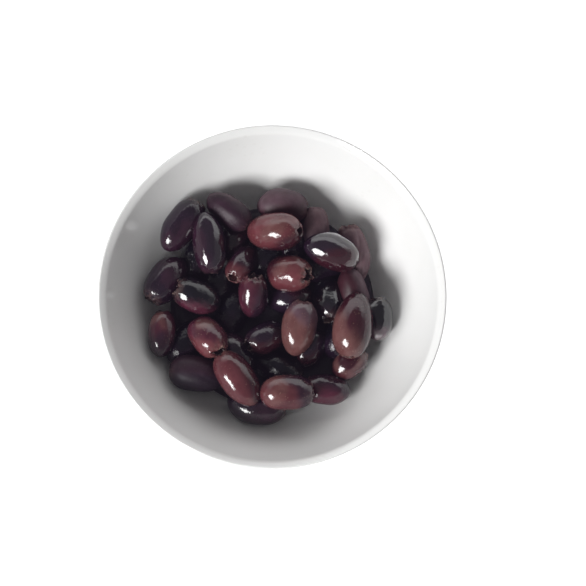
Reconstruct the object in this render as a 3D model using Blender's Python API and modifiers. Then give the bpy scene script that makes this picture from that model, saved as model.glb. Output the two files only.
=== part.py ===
"""A dish of olives: pitted dark olives heaped in a white glazed bowl.

The bowl is turned round Z and stands on its foot ring at z = 0, with its axis through the
origin. The heap is one solid: a plain core with the olives that show fused onto it.
Lengths are in metres, and +Y points away from the person at the table.
"""

import math
from typing import NamedTuple

import bmesh
import bpy
import numpy as np
from mathutils import Matrix, Vector

MM = 0.001

# Bowl
RIM_RADIUS = 77.5 * MM
LIP_THICKNESS = 3.2 * MM
BASE_THICKNESS = 4.2 * MM
FLOOR_HEIGHT = 7.2 * MM
HOLLOW_RADIUS = 78 * MM
FOOT_RADIUS = 29 * MM
FOOT_WIDTH = 4 * MM
FOOT_FILLET = 1.2 * MM
TURN_STEPS = 64
HOLLOW_POINTS = 12
OUTSIDE_POINTS = 8
LIP_POINTS = 6

# Heap
CLEARANCE = 0.4 * MM
CORE_RADIUS = 48 * MM
CORE_HEIGHT = 26 * MM
CORE_RISE = 4.5 * MM
CORE_POINTS = 6
CORE_STEPS = 28
SHOWN_SIDES = 12
SHOWN_RINGS = 9
SUNKEN_SIDES = 10
SUNKEN_RINGS = 7
HOLE_DEPTH = 3.2 * MM
HOLE_END_POWER = 2.6
HOLE_END_ROOT = 0.50
NOSE_ROOT = 0.54

# Where the heap is seen from: almost straight above, a little towards -Y
EYE_DISTANCE = 600 * MM
EYE_ELEVATION = math.radians(80.4)
HEAP_LEVEL = 41 * MM

# Settling
ROUNDS = 420
FALL = 0.12 * MM
PLACE_HOLD = 0.06
TURN_HOLD = 0.10
BEAD_SHARES = (-1.0, -0.55, 0.0, 0.55, 1.0)
PRESS = 0.93
YIELDING = 30.0
SIDEWAYS = 0.6
SINK = 3 * MM
LAYER_HEIGHT = 7.2 * MM

GLAZE_COLOUR = (0.86, 0.86, 0.85, 1.0)
OLIVE_COLOUR = (0.055, 0.022, 0.026, 1.0)


class Olive(NamedTuple):
    """One olive, in millimetres and degrees, as it is seen against the rim's plane.

    heading is the way its pit hole points in plan, counted from +X towards +Y, and lift is how
    far that end is raised. layer is 0 for an olive that rests on the core. nose is 1.7 for a
    pointed far end and 2.8 for a blunt one. bend is how far its middle stands out to the left
    of the heading, as a share of its length.
    """

    east: float
    north: float
    heading: float
    lift: float
    length: float
    width: float
    layer: float
    nose: float = 2.1
    bend: float = 0.0


TOP_OLIVES = [
    Olive(1.0, 27.9, -5, 30, 26.6, 17.3, 1.5, 2.3),
    Olive(-29.0, 22.4, 277, -9, 28.5, 14.6, 1.5, 1.9, 0.02),
    Olive(26.2, 18.5, -17, -17, 26.0, 16.4, 1.5, 1.8, 0.03),
    Olive(7.6, 9.0, -12, 34, 21.6, 16.4, 1.4, 2.9),
    Olive(11.8, -15.4, 80, 12, 25.5, 16.0, 1.5, 1.9),
    Olive(36.1, -14.2, 260, 1, 30.0, 17.9, 1.5, 1.75, -0.02),
    Olive(-15.3, -38.0, 127, 8, 27.8, 15.6, 1.5, 2.0),
    Olive(6.6, -44.1, 3, 0, 24.5, 15.4, 1.4, 3.0),
    Olive(-28.3, -20.0, -50, 25, 21.5, 15.4, 1.1, 2.4),
    Olive(-8.7, -1.0, 88, 34, 21.0, 13.6, 1.2, 2.4),
    Olive(-13.5, 13.3, -120, 30, 21.0, 12.6, 0.9),
    Olive(-33.6, -1.4, 160, 20, 22.5, 15.2, 1.2),
]
OUTER_OLIVES = [
    Olive(-45.7, 5.0, 232, 10, 25.0, 16.0, 0.3),
    Olive(-40.3, 33.0, 60, -3, 27.5, 15.0, 0.6),
    Olive(-19.6, 36.6, -38, 0, 23.5, 13.8, 0.2),
    Olive(4.6, 38.8, -5, 0, 23.5, 15.3, 0.5, 2.5, 0.03),
    Olive(17.0, 25.2, 90, 10, 23.0, 13.0, 0.1),
    Olive(31.6, 14.8, 100, 24, 28.5, 12.8, 0.3, 2.2, -0.05),
    Olive(38.5, 0.9, -70, 0, 24.0, 13.5, 0.2),
    Olive(43.5, -10.2, 100, -5, 20.0, 13.6, 0.3),
    Olive(33.2, -30.8, 48, 0, 18.2, 13.0, 0.3),
    Olive(23.8, -41.8, 178, 5, 21.5, 13.6, 0.3),
    Olive(-8.4, -49.8, -8, 0, 27.0, 15.6, -0.1, 2.2, -0.04),
    Olive(-33.6, -35.8, 172, 4, 25.5, 16.6, 0.1),
    Olive(-49.0, -18.8, 85, 0, 21.5, 12.8, 0.3),
]
SUNKEN_OLIVES = [
    Olive(-3.0, -20.1, 210, 26, 21.5, 14.4, 0.7),
    Olive(26.0, -0.6, -85, 20, 24.0, 14.5, 0.3),
    Olive(19.5, -25.6, 45, 0, 20.0, 13.0, 0.0),
    Olive(-16.0, -12.2, 80, 0, 23.0, 15.0, 0.1),
    Olive(-14.5, -23.6, -60, 0, 22.0, 15.0, 0.1),
    Olive(-15.5, 27.9, -100, 25, 22.0, 13.5, -0.1),
    Olive(8.0, -2.1, 0, 0, 22.0, 15.0, 0.1),
    Olive(3.5, -32.1, -20, 0, 24.0, 15.5, -0.1),
    Olive(-22.5, 3.4, 90, 0, 24.0, 15.5, 0.0),
    Olive(-4.5, 16.4, 60, 0, 24.0, 15.5, 0.0),
    Olive(28.0, 12.3, 10, 0, 24.0, 15.0, 0.0),
    Olive(4.0, 27.4, 80, 0, 24.0, 15.5, -0.2),
    Olive(28.0, -17.6, 80, 0, 24.0, 15.0, -0.1),
    Olive(-42.0, -21.6, 30, 0, 24.0, 15.0, -0.3),
    Olive(-37.0, 13.3, 60, 0, 24.0, 15.0, -0.2),
]


# The hollow is part of a ball about a point on the axis. The lip's middle lies on the circle
# half a lip's thickness further out.
HOLLOW_CENTRE = np.array([0.0, FLOOR_HEIGHT + HOLLOW_RADIUS])
LIP_HALF = LIP_THICKNESS / 2
LIP_ANGLE = math.asin((RIM_RADIUS - LIP_HALF) / (HOLLOW_RADIUS + LIP_HALF))
BOWL_HEIGHT = HOLLOW_CENTRE[1] - (HOLLOW_RADIUS + LIP_HALF) * math.cos(LIP_ANGLE) + LIP_HALF

# True size of an olive at the heap's level, as a share of its size against the rim's plane
EYE_HEIGHT = EYE_DISTANCE * math.sin(EYE_ELEVATION)
GROWTH = 1 + (BOWL_HEIGHT - HEAP_LEVEL) / EYE_HEIGHT


def arc(centre, radius, start, end, count):
    """Points (radius from the axis, height) on an arc, with angles counted from straight down."""
    return [
        (centre[0] + radius * math.sin(t), centre[1] - radius * math.cos(t))
        for t in np.linspace(start, end, count)
    ]


def bowl_profile():
    """Half of the bowl's section: up its inside, over the lip and down to the underside."""
    inside = arc(HOLLOW_CENTRE, HOLLOW_RADIUS, 0, LIP_ANGLE, HOLLOW_POINTS)
    lip_middle = arc(HOLLOW_CENTRE, HOLLOW_RADIUS + LIP_HALF, LIP_ANGLE, LIP_ANGLE, 1)[0]
    lip = arc(lip_middle, LIP_HALF, LIP_ANGLE + math.pi, LIP_ANGLE, LIP_POINTS)[1:-1]
    foot_angle = math.asin((FOOT_RADIUS + FOOT_FILLET) / (HOLLOW_RADIUS + BASE_THICKNESS))
    outside = []
    for share in np.linspace(0, 1, OUTSIDE_POINTS):
        angle = LIP_ANGLE + share * (foot_angle - LIP_ANGLE)
        thickness = LIP_THICKNESS + share * (BASE_THICKNESS - LIP_THICKNESS)
        outside += arc(HOLLOW_CENTRE, HOLLOW_RADIUS + thickness, angle, angle, 1)
    shoulder = outside[-1][1]
    underside = FLOOR_HEIGHT - BASE_THICKNESS
    inner_foot = FOOT_RADIUS - FOOT_WIDTH
    foot = [
        (FOOT_RADIUS, shoulder - FOOT_FILLET),
        (FOOT_RADIUS, 0.5 * FOOT_FILLET),
        (FOOT_RADIUS - 0.5 * FOOT_FILLET, 0.0),
        (inner_foot + 0.5 * FOOT_FILLET, 0.0),
        (inner_foot, 0.5 * FOOT_FILLET),
        (inner_foot - FOOT_FILLET, underside),
        (0.0, underside),
    ]
    return inside + lip + outside + foot


def material(name, colour, roughness):
    """A Principled material of one colour."""
    made = bpy.data.materials.new(name)
    made.use_nodes = True
    shader = made.node_tree.nodes["Principled BSDF"]
    shader.inputs["Base Color"].default_value = colour
    shader.inputs["Roughness"].default_value = roughness
    return made


def turned(name, profile, steps, collection):
    """An object turned round Z from a profile that starts and ends on the axis."""
    mesh = bpy.data.meshes.new(name)
    edges = [(i, i + 1) for i in range(len(profile) - 1)]
    mesh.from_pydata([(r, 0.0, z) for r, z in profile], edges, [])
    made = bpy.data.objects.new(name, mesh)
    collection.objects.link(made)
    screw = made.modifiers.new("turn", "SCREW")
    screw.steps = steps
    screw.render_steps = steps
    screw.use_merge_vertices = True
    screw.merge_threshold = 0.01 * MM
    screw.use_normal_calculate = True
    return made


def sight(east, north, height):
    """The place at a height that is seen at (east, north) against the rim's plane."""
    eye_y = -EYE_DISTANCE * math.cos(EYE_ELEVATION)
    share = (BOWL_HEIGHT - height) / EYE_HEIGHT
    return np.stack([east * (1 + share), north + (north - eye_y) * share], axis=-1)


def wall_gap(points):
    """How far each point is from the inside of the bowl, and the way towards the bowl from it."""
    from_centre = points - np.array([0.0, 0.0, HOLLOW_CENTRE[1]])
    distance = np.linalg.norm(from_centre, axis=-1)
    return HOLLOW_RADIUS - distance, from_centre / distance[..., None]


def core_top(reach):
    """Height of the core's upper side, which is a little hollow, at a distance from the axis."""
    return CORE_HEIGHT + CORE_RISE * (reach / CORE_RADIUS) ** 2


def aim(olives):
    """Unit vectors towards the pit holes."""
    heading = np.radians([o.heading for o in olives])
    lift = np.radians([o.lift for o in olives])
    return np.stack(
        [np.cos(lift) * np.cos(heading), np.cos(lift) * np.sin(heading), np.sin(lift)], axis=1
    )


def settle(olives):
    """Lets the olives sink until they rest on the core, on the bowl and on each other.

    Each olive is a row of five beads. Every round they fall a little, drift towards where they
    are seen, and are pushed out of each other and of the bowl, the lower one of two the most.
    Returns middles and axes.
    """
    half = np.array([o.length for o in olives]) * GROWTH * MM / 2
    thick = np.array([o.width for o in olives]) * GROWTH * MM / 2
    east = np.array([o.east for o in olives]) * MM
    north = np.array([o.north for o in olives]) * MM
    layer = np.array([o.layer for o in olives])
    offsets = (half - thick**2 / half)[:, None] * np.array(BEAD_SHARES)
    radii = thick[:, None] * np.sqrt(1 - offsets**2 / (half**2 - thick**2)[:, None])
    wanted = aim(olives)
    axes = wanted.copy()
    height = core_top(np.hypot(east, north)) + LAYER_HEIGHT * layer + 2 * thick
    middles = np.concatenate([sight(east, north, height), height[:, None]], axis=1)
    beads_each = len(BEAD_SHARES)
    owner = np.repeat(np.arange(len(olives)), beads_each)
    apart = owner[:, None] != owner[None, :]
    lifted = LAYER_HEIGHT * layer[owner] - SINK
    give = YIELDING ** -layer[owner]
    share = give[:, None] / (give[:, None] + give[None, :])
    reach = radii.reshape(-1)
    touch = PRESS * (reach[:, None] + reach[None, :])
    spread = np.sum(offsets**2, axis=1)
    for _ in range(ROUNDS):
        middles[:, 2] -= FALL
        middles[:, :2] += PLACE_HOLD * (sight(east, north, middles[:, 2]) - middles[:, :2])
        axes += TURN_HOLD * (wanted - axes)
        axes /= np.linalg.norm(axes, axis=1)[:, None]
        beads = (middles[:, None, :] + axes[:, None, :] * offsets[:, :, None]).reshape(-1, 3)
        between = beads[:, None, :] - beads[None, :, :]
        distance = np.maximum(np.linalg.norm(between, axis=2), 1e-9)
        bite = np.where(apart, np.maximum(touch - distance, 0), 0)
        push = np.sum(between / distance[..., None] * (share * bite)[..., None], axis=1)
        push /= np.maximum(np.sum(bite > 0, axis=1), 1)[:, None]
        push[:, :2] *= SIDEWAYS
        gap, way = wall_gap(beads)
        push -= way * np.maximum(reach + CLEARANCE - gap, 0)[:, None]
        rest = core_top(np.hypot(beads[:, 0], beads[:, 1])) + lifted + reach
        push[:, 2] += np.maximum(rest - beads[:, 2], 0)
        push = push.reshape(len(olives), beads_each, 3)
        strongest = np.max(np.abs(push), axis=1) * np.sign(np.sum(push, axis=1))
        middles += 0.5 * (strongest + np.mean(push, axis=1))
        axes += np.sum(push * offsets[:, :, None], axis=1) / spread[:, None]
        axes /= np.linalg.norm(axes, axis=1)[:, None]
    return middles, axes


def olive_width(olive, along):
    """Share of an olive's half width at a place from -1, its nose, to 1, its pit hole."""
    if along > 0:
        return (1 - along**HOLE_END_POWER) ** HOLE_END_ROOT
    return (1 - (-along) ** olive.nose) ** NOSE_ROOT


def olive_piece(olive, middle, axis, sides, rings, collection):
    """One olive with few sides, with a dimple where the pit was pushed out."""
    half = olive.length * GROWTH * MM / 2
    # With flat sides it is made a little wider, so that it is as thick as a round one
    thick = olive.width * GROWTH * MM / 2 / math.cos(math.pi / (1.5 * sides))
    shape = bmesh.new()
    bmesh.ops.create_uvsphere(shape, u_segments=sides, v_segments=rings, radius=1.0)
    for vertex in shape.verts:
        along = max(-1.0, min(1.0, vertex.co.z))
        ring = math.hypot(vertex.co.x, vertex.co.y)
        wide = thick * olive_width(olive, along) / ring if ring > 1e-6 else 0.0
        vertex.co.x = vertex.co.x * wide + 2 * half * olive.bend * (1 - along**2)
        vertex.co.y *= wide
        vertex.co.z = along * half - (HOLE_DEPTH if along > 0.999 else 0.0)
    turn = Vector(axis).to_track_quat("Z", "Y").to_matrix().to_4x4()
    bmesh.ops.transform(shape, matrix=Matrix.Translation(Vector(middle)) @ turn, verts=shape.verts)
    clear_of_bowl(shape)
    mesh = bpy.data.meshes.new("olive")
    shape.to_mesh(mesh)
    shape.free()
    piece = bpy.data.objects.new("olive", mesh)
    collection.objects.link(piece)
    return piece


def clear_of_bowl(shape):
    """Presses in whatever part of a shape comes nearer than CLEARANCE to the bowl."""
    points = np.array([v.co for v in shape.verts])
    gap, way = wall_gap(points)
    points -= way * np.maximum(CLEARANCE - gap, 0)[:, None]
    for vertex, point in zip(shape.verts, points):
        vertex.co = point


def core_profile():
    """Section of the plain mass under the olives that show, from its top to its bottom."""
    top = [(r, core_top(r)) for r in np.linspace(0, CORE_RADIUS, CORE_POINTS)]
    bottom_radius = HOLLOW_RADIUS - 2 * CLEARANCE
    edge_angle = math.asin(CORE_RADIUS / bottom_radius)
    return top + arc(HOLLOW_CENTRE, bottom_radius, edge_angle, 0, CORE_POINTS)


def keep_largest_shell(mesh):
    """Drops sealed hollows and loose scraps, which are shells of their own in the fused mesh."""
    shape = bmesh.new()
    shape.from_mesh(mesh)
    waiting = set(shape.faces)
    shells = []
    while waiting:
        front = [waiting.pop()]
        shell = list(front)
        while front:
            face = front.pop()
            for edge in face.edges:
                for other in edge.link_faces:
                    if other in waiting:
                        waiting.remove(other)
                        shell.append(other)
                        front.append(other)
        shells.append(shell)
    shells.sort(key=len)
    for shell in shells[:-1]:
        bmesh.ops.delete(shape, geom=shell, context="FACES")
    bmesh.ops.triangulate(shape, faces=shape.faces)
    shape.to_mesh(mesh)
    shape.free()


def heap(collection):
    """The olives and their core as one solid."""
    shown = TOP_OLIVES + OUTER_OLIVES
    middles, axes = settle(shown + SUNKEN_OLIVES)
    pieces = bpy.data.collections.new("olive_pieces")
    bpy.context.scene.collection.children.link(pieces)
    for olive, middle, axis in zip(shown, middles, axes):
        olive_piece(olive, middle, axis, SHOWN_SIDES, SHOWN_RINGS, pieces)
    for olive, middle, axis in zip(SUNKEN_OLIVES, middles[len(shown) :], axes[len(shown) :]):
        olive_piece(olive, middle, axis, SUNKEN_SIDES, SUNKEN_RINGS, pieces)
    made = turned("olives", core_profile(), CORE_STEPS, collection)
    union = made.modifiers.new("fuse", "BOOLEAN")
    union.operation = "UNION"
    union.operand_type = "COLLECTION"
    union.collection = pieces
    union.solver = "MANIFOLD"
    graph = bpy.context.evaluated_depsgraph_get()
    fused = bpy.data.meshes.new_from_object(made.evaluated_get(graph))
    made.modifiers.clear()
    made.data = fused
    for piece in list(pieces.objects):
        bpy.data.objects.remove(piece)
    bpy.data.collections.remove(pieces)
    keep_largest_shell(made.data)
    made.data.materials.append(material("olive_skin", OLIVE_COLOUR, 0.2))
    made.data.shade_smooth()
    made.data.set_sharp_from_angle(angle=math.radians(40))
    return made


def bowl(collection):
    """The dish, one piece of glazed ceramic."""
    made = turned("bowl", bowl_profile(), TURN_STEPS, collection)
    made.modifiers["turn"].use_smooth_shade = True
    made.data.materials.append(material("white_glaze", GLAZE_COLOUR, 0.15))
    return made


def main():
    for old in list(bpy.data.objects):
        bpy.data.objects.remove(old)
    dish = bpy.data.collections.new("dish_of_olives")
    bpy.context.scene.collection.children.link(dish)
    bowl(dish)
    heap(dish)


if __name__ == "__main__":
    main()
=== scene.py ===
"""The looks of a dish of olives: pitted dark olives, wet with brine, in a white glazed bowl.

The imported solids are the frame. The bowl and the heap each get finer pieces that stand where
the solids stand. Lengths are in metres, +Z is up, and +Y points away from the person at the table.
"""

import logging
import math
import random
from dataclasses import dataclass, field
from enum import Enum
from typing import Any

import bmesh
import bpy
import numpy as np
from mathutils import Matrix, Vector, noise


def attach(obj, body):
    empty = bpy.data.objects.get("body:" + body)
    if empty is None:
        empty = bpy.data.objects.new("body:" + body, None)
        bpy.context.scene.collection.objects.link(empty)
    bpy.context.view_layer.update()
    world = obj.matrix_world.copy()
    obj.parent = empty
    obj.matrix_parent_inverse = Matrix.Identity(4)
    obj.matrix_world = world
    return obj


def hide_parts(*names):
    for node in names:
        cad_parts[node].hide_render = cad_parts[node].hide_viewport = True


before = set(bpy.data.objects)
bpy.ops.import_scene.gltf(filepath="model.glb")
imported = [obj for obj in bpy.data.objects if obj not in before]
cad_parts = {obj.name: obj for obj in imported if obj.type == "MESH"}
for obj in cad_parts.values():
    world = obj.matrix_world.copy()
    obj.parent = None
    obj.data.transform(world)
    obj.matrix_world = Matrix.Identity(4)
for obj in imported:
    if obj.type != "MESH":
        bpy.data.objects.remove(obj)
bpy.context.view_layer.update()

LOG = logging.getLogger("dish_of_olives")
MM = 0.001
MERGE_GAP = 0.001 * MM
BODY = "root"


class Tone(Enum):
    """Colours of olive skin and flesh, the painted shade of the pit hole, and the pale flesh with painted
    glints on its lip, as linear red, green and blue.
    """

    SIENNA = (0.130, 0.034, 0.040)
    RUSSET = (0.094, 0.024, 0.030)
    CHESTNUT = (0.142, 0.060, 0.056)
    ROSE = (0.068, 0.014, 0.027)
    MAROON = (0.038, 0.007, 0.013)
    FAWN = (0.176, 0.106, 0.122)
    MAUVE = (0.100, 0.056, 0.072)
    PLUM = (0.028, 0.009, 0.020)
    AUBERGINE = (0.016, 0.007, 0.017)
    JET = (0.005, 0.004, 0.008)
    FLESH = (0.170, 0.090, 0.070)
    # Pale torn flesh with painted glints, for the pit hole's lip.
    LIP_FLESH_AND_GLINT = (0.340, 0.230, 0.190)
    PIT_SHADE = (0.040, 0.014, 0.012)


class Kind(Enum):
    """The sorts of olive in the heap, by the look of their skin."""

    RUSSET = "russet"
    PLUM = "plum"
    BLACK = "black"
    DUSKY = "dusky"
    SUNKEN = "sunken"


@dataclass(frozen=True)
class Olive:
    """One olive's size and seat, in millimetres and degrees, as seen against the rim's plane.

    heading is the way its pit hole points in plan, counted from +X towards +Y, and lift is how
    far that end is raised. layer is 0 for an olive that rests on the core. nose is 1.7 for a
    pointed far end and 2.8 for a blunt one. bend is how far its middle stands out to the left
    of the heading, as a share of its length.
    """

    east: float
    north: float
    heading: float
    lift: float
    length: float
    width: float
    layer: float
    nose: float = 2.1
    bend: float = 0.0


@dataclass(frozen=True)
class Look:
    """One olive's skin: its kind, its main tone, and the tone of one of its sides.

    side is the way that the second tone faces in plan, in degrees from +X towards +Y, and
    reach is where it starts, from -1, all over, to 1, nowhere. tear is how ragged the pit hole
    is, and wrinkle how creased the skin is, both from 0 to 1.
    """

    kind: Kind
    main: Tone
    second: Tone
    side: float
    reach: float = 0.2
    tear: float = 0.5
    wrinkle: float = 0.2


TOP_OLIVES = [
    (Olive(1.0, 27.9, -5, 30, 26.6, 17.3, 1.5, 2.3),
     Look(Kind.RUSSET, Tone.SIENNA, Tone.MAROON, 310, 0.5, 0.3)),
    (Olive(-29.0, 22.4, 277, -9, 28.5, 14.6, 1.5, 1.9, 0.02),
     Look(Kind.BLACK, Tone.AUBERGINE, Tone.PLUM, 200, 0.2, 0.4, 0.5)),
    (Olive(26.2, 18.5, -17, -17, 26.0, 16.4, 1.5, 1.8, 0.03),
     Look(Kind.BLACK, Tone.AUBERGINE, Tone.MAROON, 300, 0.2, 0.4)),
    (Olive(7.6, 9.0, -12, 34, 21.6, 16.4, 1.4, 2.9),
     Look(Kind.RUSSET, Tone.SIENNA, Tone.MAROON, 150, 0.55, 1.0)),
    (Olive(11.8, -15.4, 80, 12, 25.5, 16.0, 1.5, 1.9),
     Look(Kind.RUSSET, Tone.CHESTNUT, Tone.MAUVE, 60, 0.1, 0.8)),
    (Olive(36.1, -14.2, 260, 1, 30.0, 17.9, 1.5, 1.75, -0.02),
     Look(Kind.RUSSET, Tone.CHESTNUT, Tone.MAROON, 40, -0.25, 0.3)),
    (Olive(-15.3, -38.0, 127, 8, 27.8, 15.6, 1.5, 2.0),
     Look(Kind.RUSSET, Tone.RUSSET, Tone.MAROON, 10, 0.35, 0.5)),
    (Olive(6.6, -44.1, 3, 0, 24.5, 15.4, 1.4, 3.0),
     Look(Kind.RUSSET, Tone.RUSSET, Tone.PLUM, 20, 0.2, 0.6)),
    (Olive(-28.3, -20.0, -50, 25, 21.5, 15.4, 1.1, 2.4),
     Look(Kind.RUSSET, Tone.ROSE, Tone.SIENNA, 260, 0.2, 1.0)),
    (Olive(-8.7, -1.0, 88, 34, 21.0, 13.6, 1.2, 2.4),
     Look(Kind.PLUM, Tone.ROSE, Tone.PLUM, 330, 0.4, 1.0, 0.5)),
    (Olive(-13.5, 13.3, -120, 30, 21.0, 12.6, 0.9),
     Look(Kind.PLUM, Tone.PLUM, Tone.RUSSET, 240, 0.1, 0.6)),
    (Olive(-33.6, -1.4, 160, 20, 22.5, 15.2, 1.2),
     Look(Kind.PLUM, Tone.JET, Tone.ROSE, 265, 0.5, 0.9, 0.6)),
]
OUTER_OLIVES = [
    (Olive(-45.7, 5.0, 232, 10, 25.0, 16.0, 0.3),
     Look(Kind.PLUM, Tone.AUBERGINE, Tone.PLUM, 30, 0.0, 0.9, 0.6)),
    (Olive(-40.3, 33.0, 60, -3, 27.5, 15.0, 0.6),
     Look(Kind.PLUM, Tone.AUBERGINE, Tone.PLUM, 280, 0.2, 1.0, 0.3)),
    (Olive(-19.6, 36.6, -38, 0, 23.5, 13.8, 0.2),
     Look(Kind.DUSKY, Tone.PLUM, Tone.MAUVE, 90, 0.6, 0.3)),
    (Olive(4.6, 38.8, -5, 0, 23.5, 15.3, 0.5, 2.5, 0.03),
     Look(Kind.DUSKY, Tone.MAUVE, Tone.MAROON, 280, 0.2, 0.3)),
    (Olive(17.0, 25.2, 90, 10, 23.0, 13.0, 0.1),
     Look(Kind.DUSKY, Tone.FAWN, Tone.PLUM, 270, 0.2, 0.3)),
    (Olive(31.6, 14.8, 100, 24, 28.5, 12.8, 0.3, 2.2, -0.05),
     Look(Kind.DUSKY, Tone.FAWN, Tone.MAROON, 200, 0.5, 1.0, 1.0)),
    (Olive(38.5, 0.9, -70, 0, 24.0, 13.5, 0.2),
     Look(Kind.DUSKY, Tone.MAROON, Tone.MAUVE, 20, 0.3, 0.3, 0.6)),
    (Olive(43.5, -10.2, 100, -5, 20.0, 13.6, 0.3),
     Look(Kind.BLACK, Tone.JET, Tone.MAUVE, 265, 0.55, 0.9, 0.5)),
    (Olive(33.2, -30.8, 48, 0, 18.2, 13.0, 0.3),
     Look(Kind.RUSSET, Tone.MAROON, Tone.RUSSET, 280, 0.55, 0.6)),
    (Olive(23.8, -41.8, 178, 5, 21.5, 13.6, 0.3),
     Look(Kind.PLUM, Tone.ROSE, Tone.PLUM, 60, 0.1, 1.0)),
    (Olive(-8.4, -49.8, -8, 0, 27.0, 15.6, -0.1, 2.2, -0.04),
     Look(Kind.PLUM, Tone.PLUM, Tone.AUBERGINE, 160, 0.0, 0.5)),
    (Olive(-33.6, -35.8, 172, 4, 25.5, 16.6, 0.1),
     Look(Kind.DUSKY, Tone.PLUM, Tone.AUBERGINE, 270, 0.2, 0.4, 0.6)),
    (Olive(-49.0, -18.8, 85, 0, 21.5, 12.8, 0.3),
     Look(Kind.RUSSET, Tone.ROSE, Tone.PLUM, 270, 0.1, 0.4)),
]
DEEP_LOOK = Look(Kind.SUNKEN, Tone.JET, Tone.AUBERGINE, 250, 0.3)
SUNKEN_OLIVES = [
    (Olive(-3.0, -20.1, 210, 26, 21.5, 14.4, 0.7),
     Look(Kind.PLUM, Tone.AUBERGINE, Tone.MAROON, 280, 0.3, 0.6, 0.5)),
    (Olive(26.0, -0.6, -85, 20, 24.0, 14.5, 0.3),
     Look(Kind.BLACK, Tone.JET, Tone.AUBERGINE, 250, 0.3)),
    (Olive(19.5, -25.6, 45, 0, 20.0, 13.0, 0.0),
     Look(Kind.PLUM, Tone.AUBERGINE, Tone.MAROON, 250, 0.3)),
    (Olive(-16.0, -12.2, 80, 0, 23.0, 15.0, 0.1), DEEP_LOOK),
    (Olive(-14.5, -23.6, -60, 0, 22.0, 15.0, 0.1),
     Look(Kind.PLUM, Tone.AUBERGINE, Tone.PLUM, 90, 0.3)),
    (Olive(-15.5, 27.9, -100, 25, 22.0, 13.5, -0.1),
     Look(Kind.PLUM, Tone.PLUM, Tone.MAROON, 60, 0.2, 0.8)),
    (Olive(8.0, -2.1, 0, 0, 22.0, 15.0, 0.1),
     Look(Kind.PLUM, Tone.AUBERGINE, Tone.MAROON, 0, 0.2)),
    (Olive(3.5, -32.1, -20, 0, 24.0, 15.5, -0.1), DEEP_LOOK),
    (Olive(-22.5, 3.4, 90, 0, 24.0, 15.5, 0.0), DEEP_LOOK),
    (Olive(-4.5, 16.4, 60, 0, 24.0, 15.5, 0.0), DEEP_LOOK),
    (Olive(28.0, 12.3, 10, 0, 24.0, 15.0, 0.0), DEEP_LOOK),
    (Olive(4.0, 27.4, 80, 0, 24.0, 15.5, -0.2), DEEP_LOOK),
    (Olive(28.0, -17.6, 80, 0, 24.0, 15.0, -0.1), DEEP_LOOK),
    (Olive(-42.0, -21.6, 30, 0, 24.0, 15.0, -0.3), DEEP_LOOK),
    (Olive(-37.0, 13.3, 60, 0, 24.0, 15.0, -0.2), DEEP_LOOK),
]


class Bench:
    """Adds nodes to one node tree and joins them."""

    def __init__(self, tree: bpy.types.NodeTree) -> None:
        """Starts on a tree.

        Args:
            tree: The node tree of a material, a world or a group.
        """
        self.tree = tree

    def add(self, kind: str, **settings: Any) -> bpy.types.Node:
        """Adds one node.

        Args:
            kind: Its Blender type name without the leading ShaderNode.
            **settings: Properties to set on it.

        Returns:
            The node.
        """
        node = self.tree.nodes.new(kind if kind.startswith("Node") else f"ShaderNode{kind}")
        for name, value in settings.items():
            setattr(node, name, value)
        return node

    def join(self, source: bpy.types.NodeSocket, target: bpy.types.NodeSocket) -> None:
        """Links an output to an input."""
        self.tree.links.new(source, target)

    def sum(self, operation: str, first: Any, second: Any) -> bpy.types.NodeSocket:
        """Works out one value from two.

        Args:
            operation: The Math node's operation.
            first: A socket or a number.
            second: A socket or a number.

        Returns:
            The result's socket.
        """
        node = self.add("Math", operation=operation)
        for socket, given in zip(node.inputs, (first, second)):
            if isinstance(given, bpy.types.NodeSocket):
                self.join(given, socket)
            else:
                socket.default_value = given
        return node.outputs[0]

    def ramp(self, value: bpy.types.NodeSocket, low: float, high: float,
             start: float = 0.0, end: float = 1.0) -> bpy.types.NodeSocket:
        """Maps a range of a value smoothly onto another.

        Args:
            value: What is mapped.
            low: The value that gives start.
            high: The value that gives end.
            start: The result at and under low.
            end: The result at and over high.

        Returns:
            The result's socket.
        """
        node = self.add("MapRange", interpolation_type="SMOOTHSTEP")
        self.join(value, node.inputs["Value"])
        for name, number in (("From Min", low), ("From Max", high), ("To Min", start), ("To Max", end)):
            node.inputs[name].default_value = number
        return node.outputs["Result"]

    def noise(self, vector: bpy.types.NodeSocket, scale: Any, detail: float) -> bpy.types.NodeSocket:
        """Adds a noise texture.

        Args:
            vector: The place that it is read at.
            scale: A socket or a number, in waves to the metre.
            detail: How many finer layers it has.

        Returns:
            Its value's socket.
        """
        node = self.add("TexNoise")
        node.inputs["Detail"].default_value = detail
        self.join(vector, node.inputs["Vector"])
        if isinstance(scale, bpy.types.NodeSocket):
            self.join(scale, node.inputs["Scale"])
        else:
            node.inputs["Scale"].default_value = scale
        return node.outputs[0]


def new_group(name: str, takes: dict[str, str], gives: dict[str, str]) -> tuple[Any, Bench, Any, Any]:
    """Starts a shader node group.

    Args:
        name: The group's name.
        takes: Its inputs' names and socket kinds.
        gives: Its outputs' names and socket kinds.

    Returns:
        The group, a bench on it, its input sockets and its output sockets.
    """
    group = bpy.data.node_groups.new(name, "ShaderNodeTree")
    for label, kind in takes.items():
        group.interface.new_socket(label, in_out="INPUT", socket_type=f"NodeSocket{kind}")
    for label, kind in gives.items():
        group.interface.new_socket(label, in_out="OUTPUT", socket_type=f"NodeSocket{kind}")
    bench = Bench(group)
    return group, bench, bench.add("NodeGroupInput").outputs, bench.add("NodeGroupOutput").inputs


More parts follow.
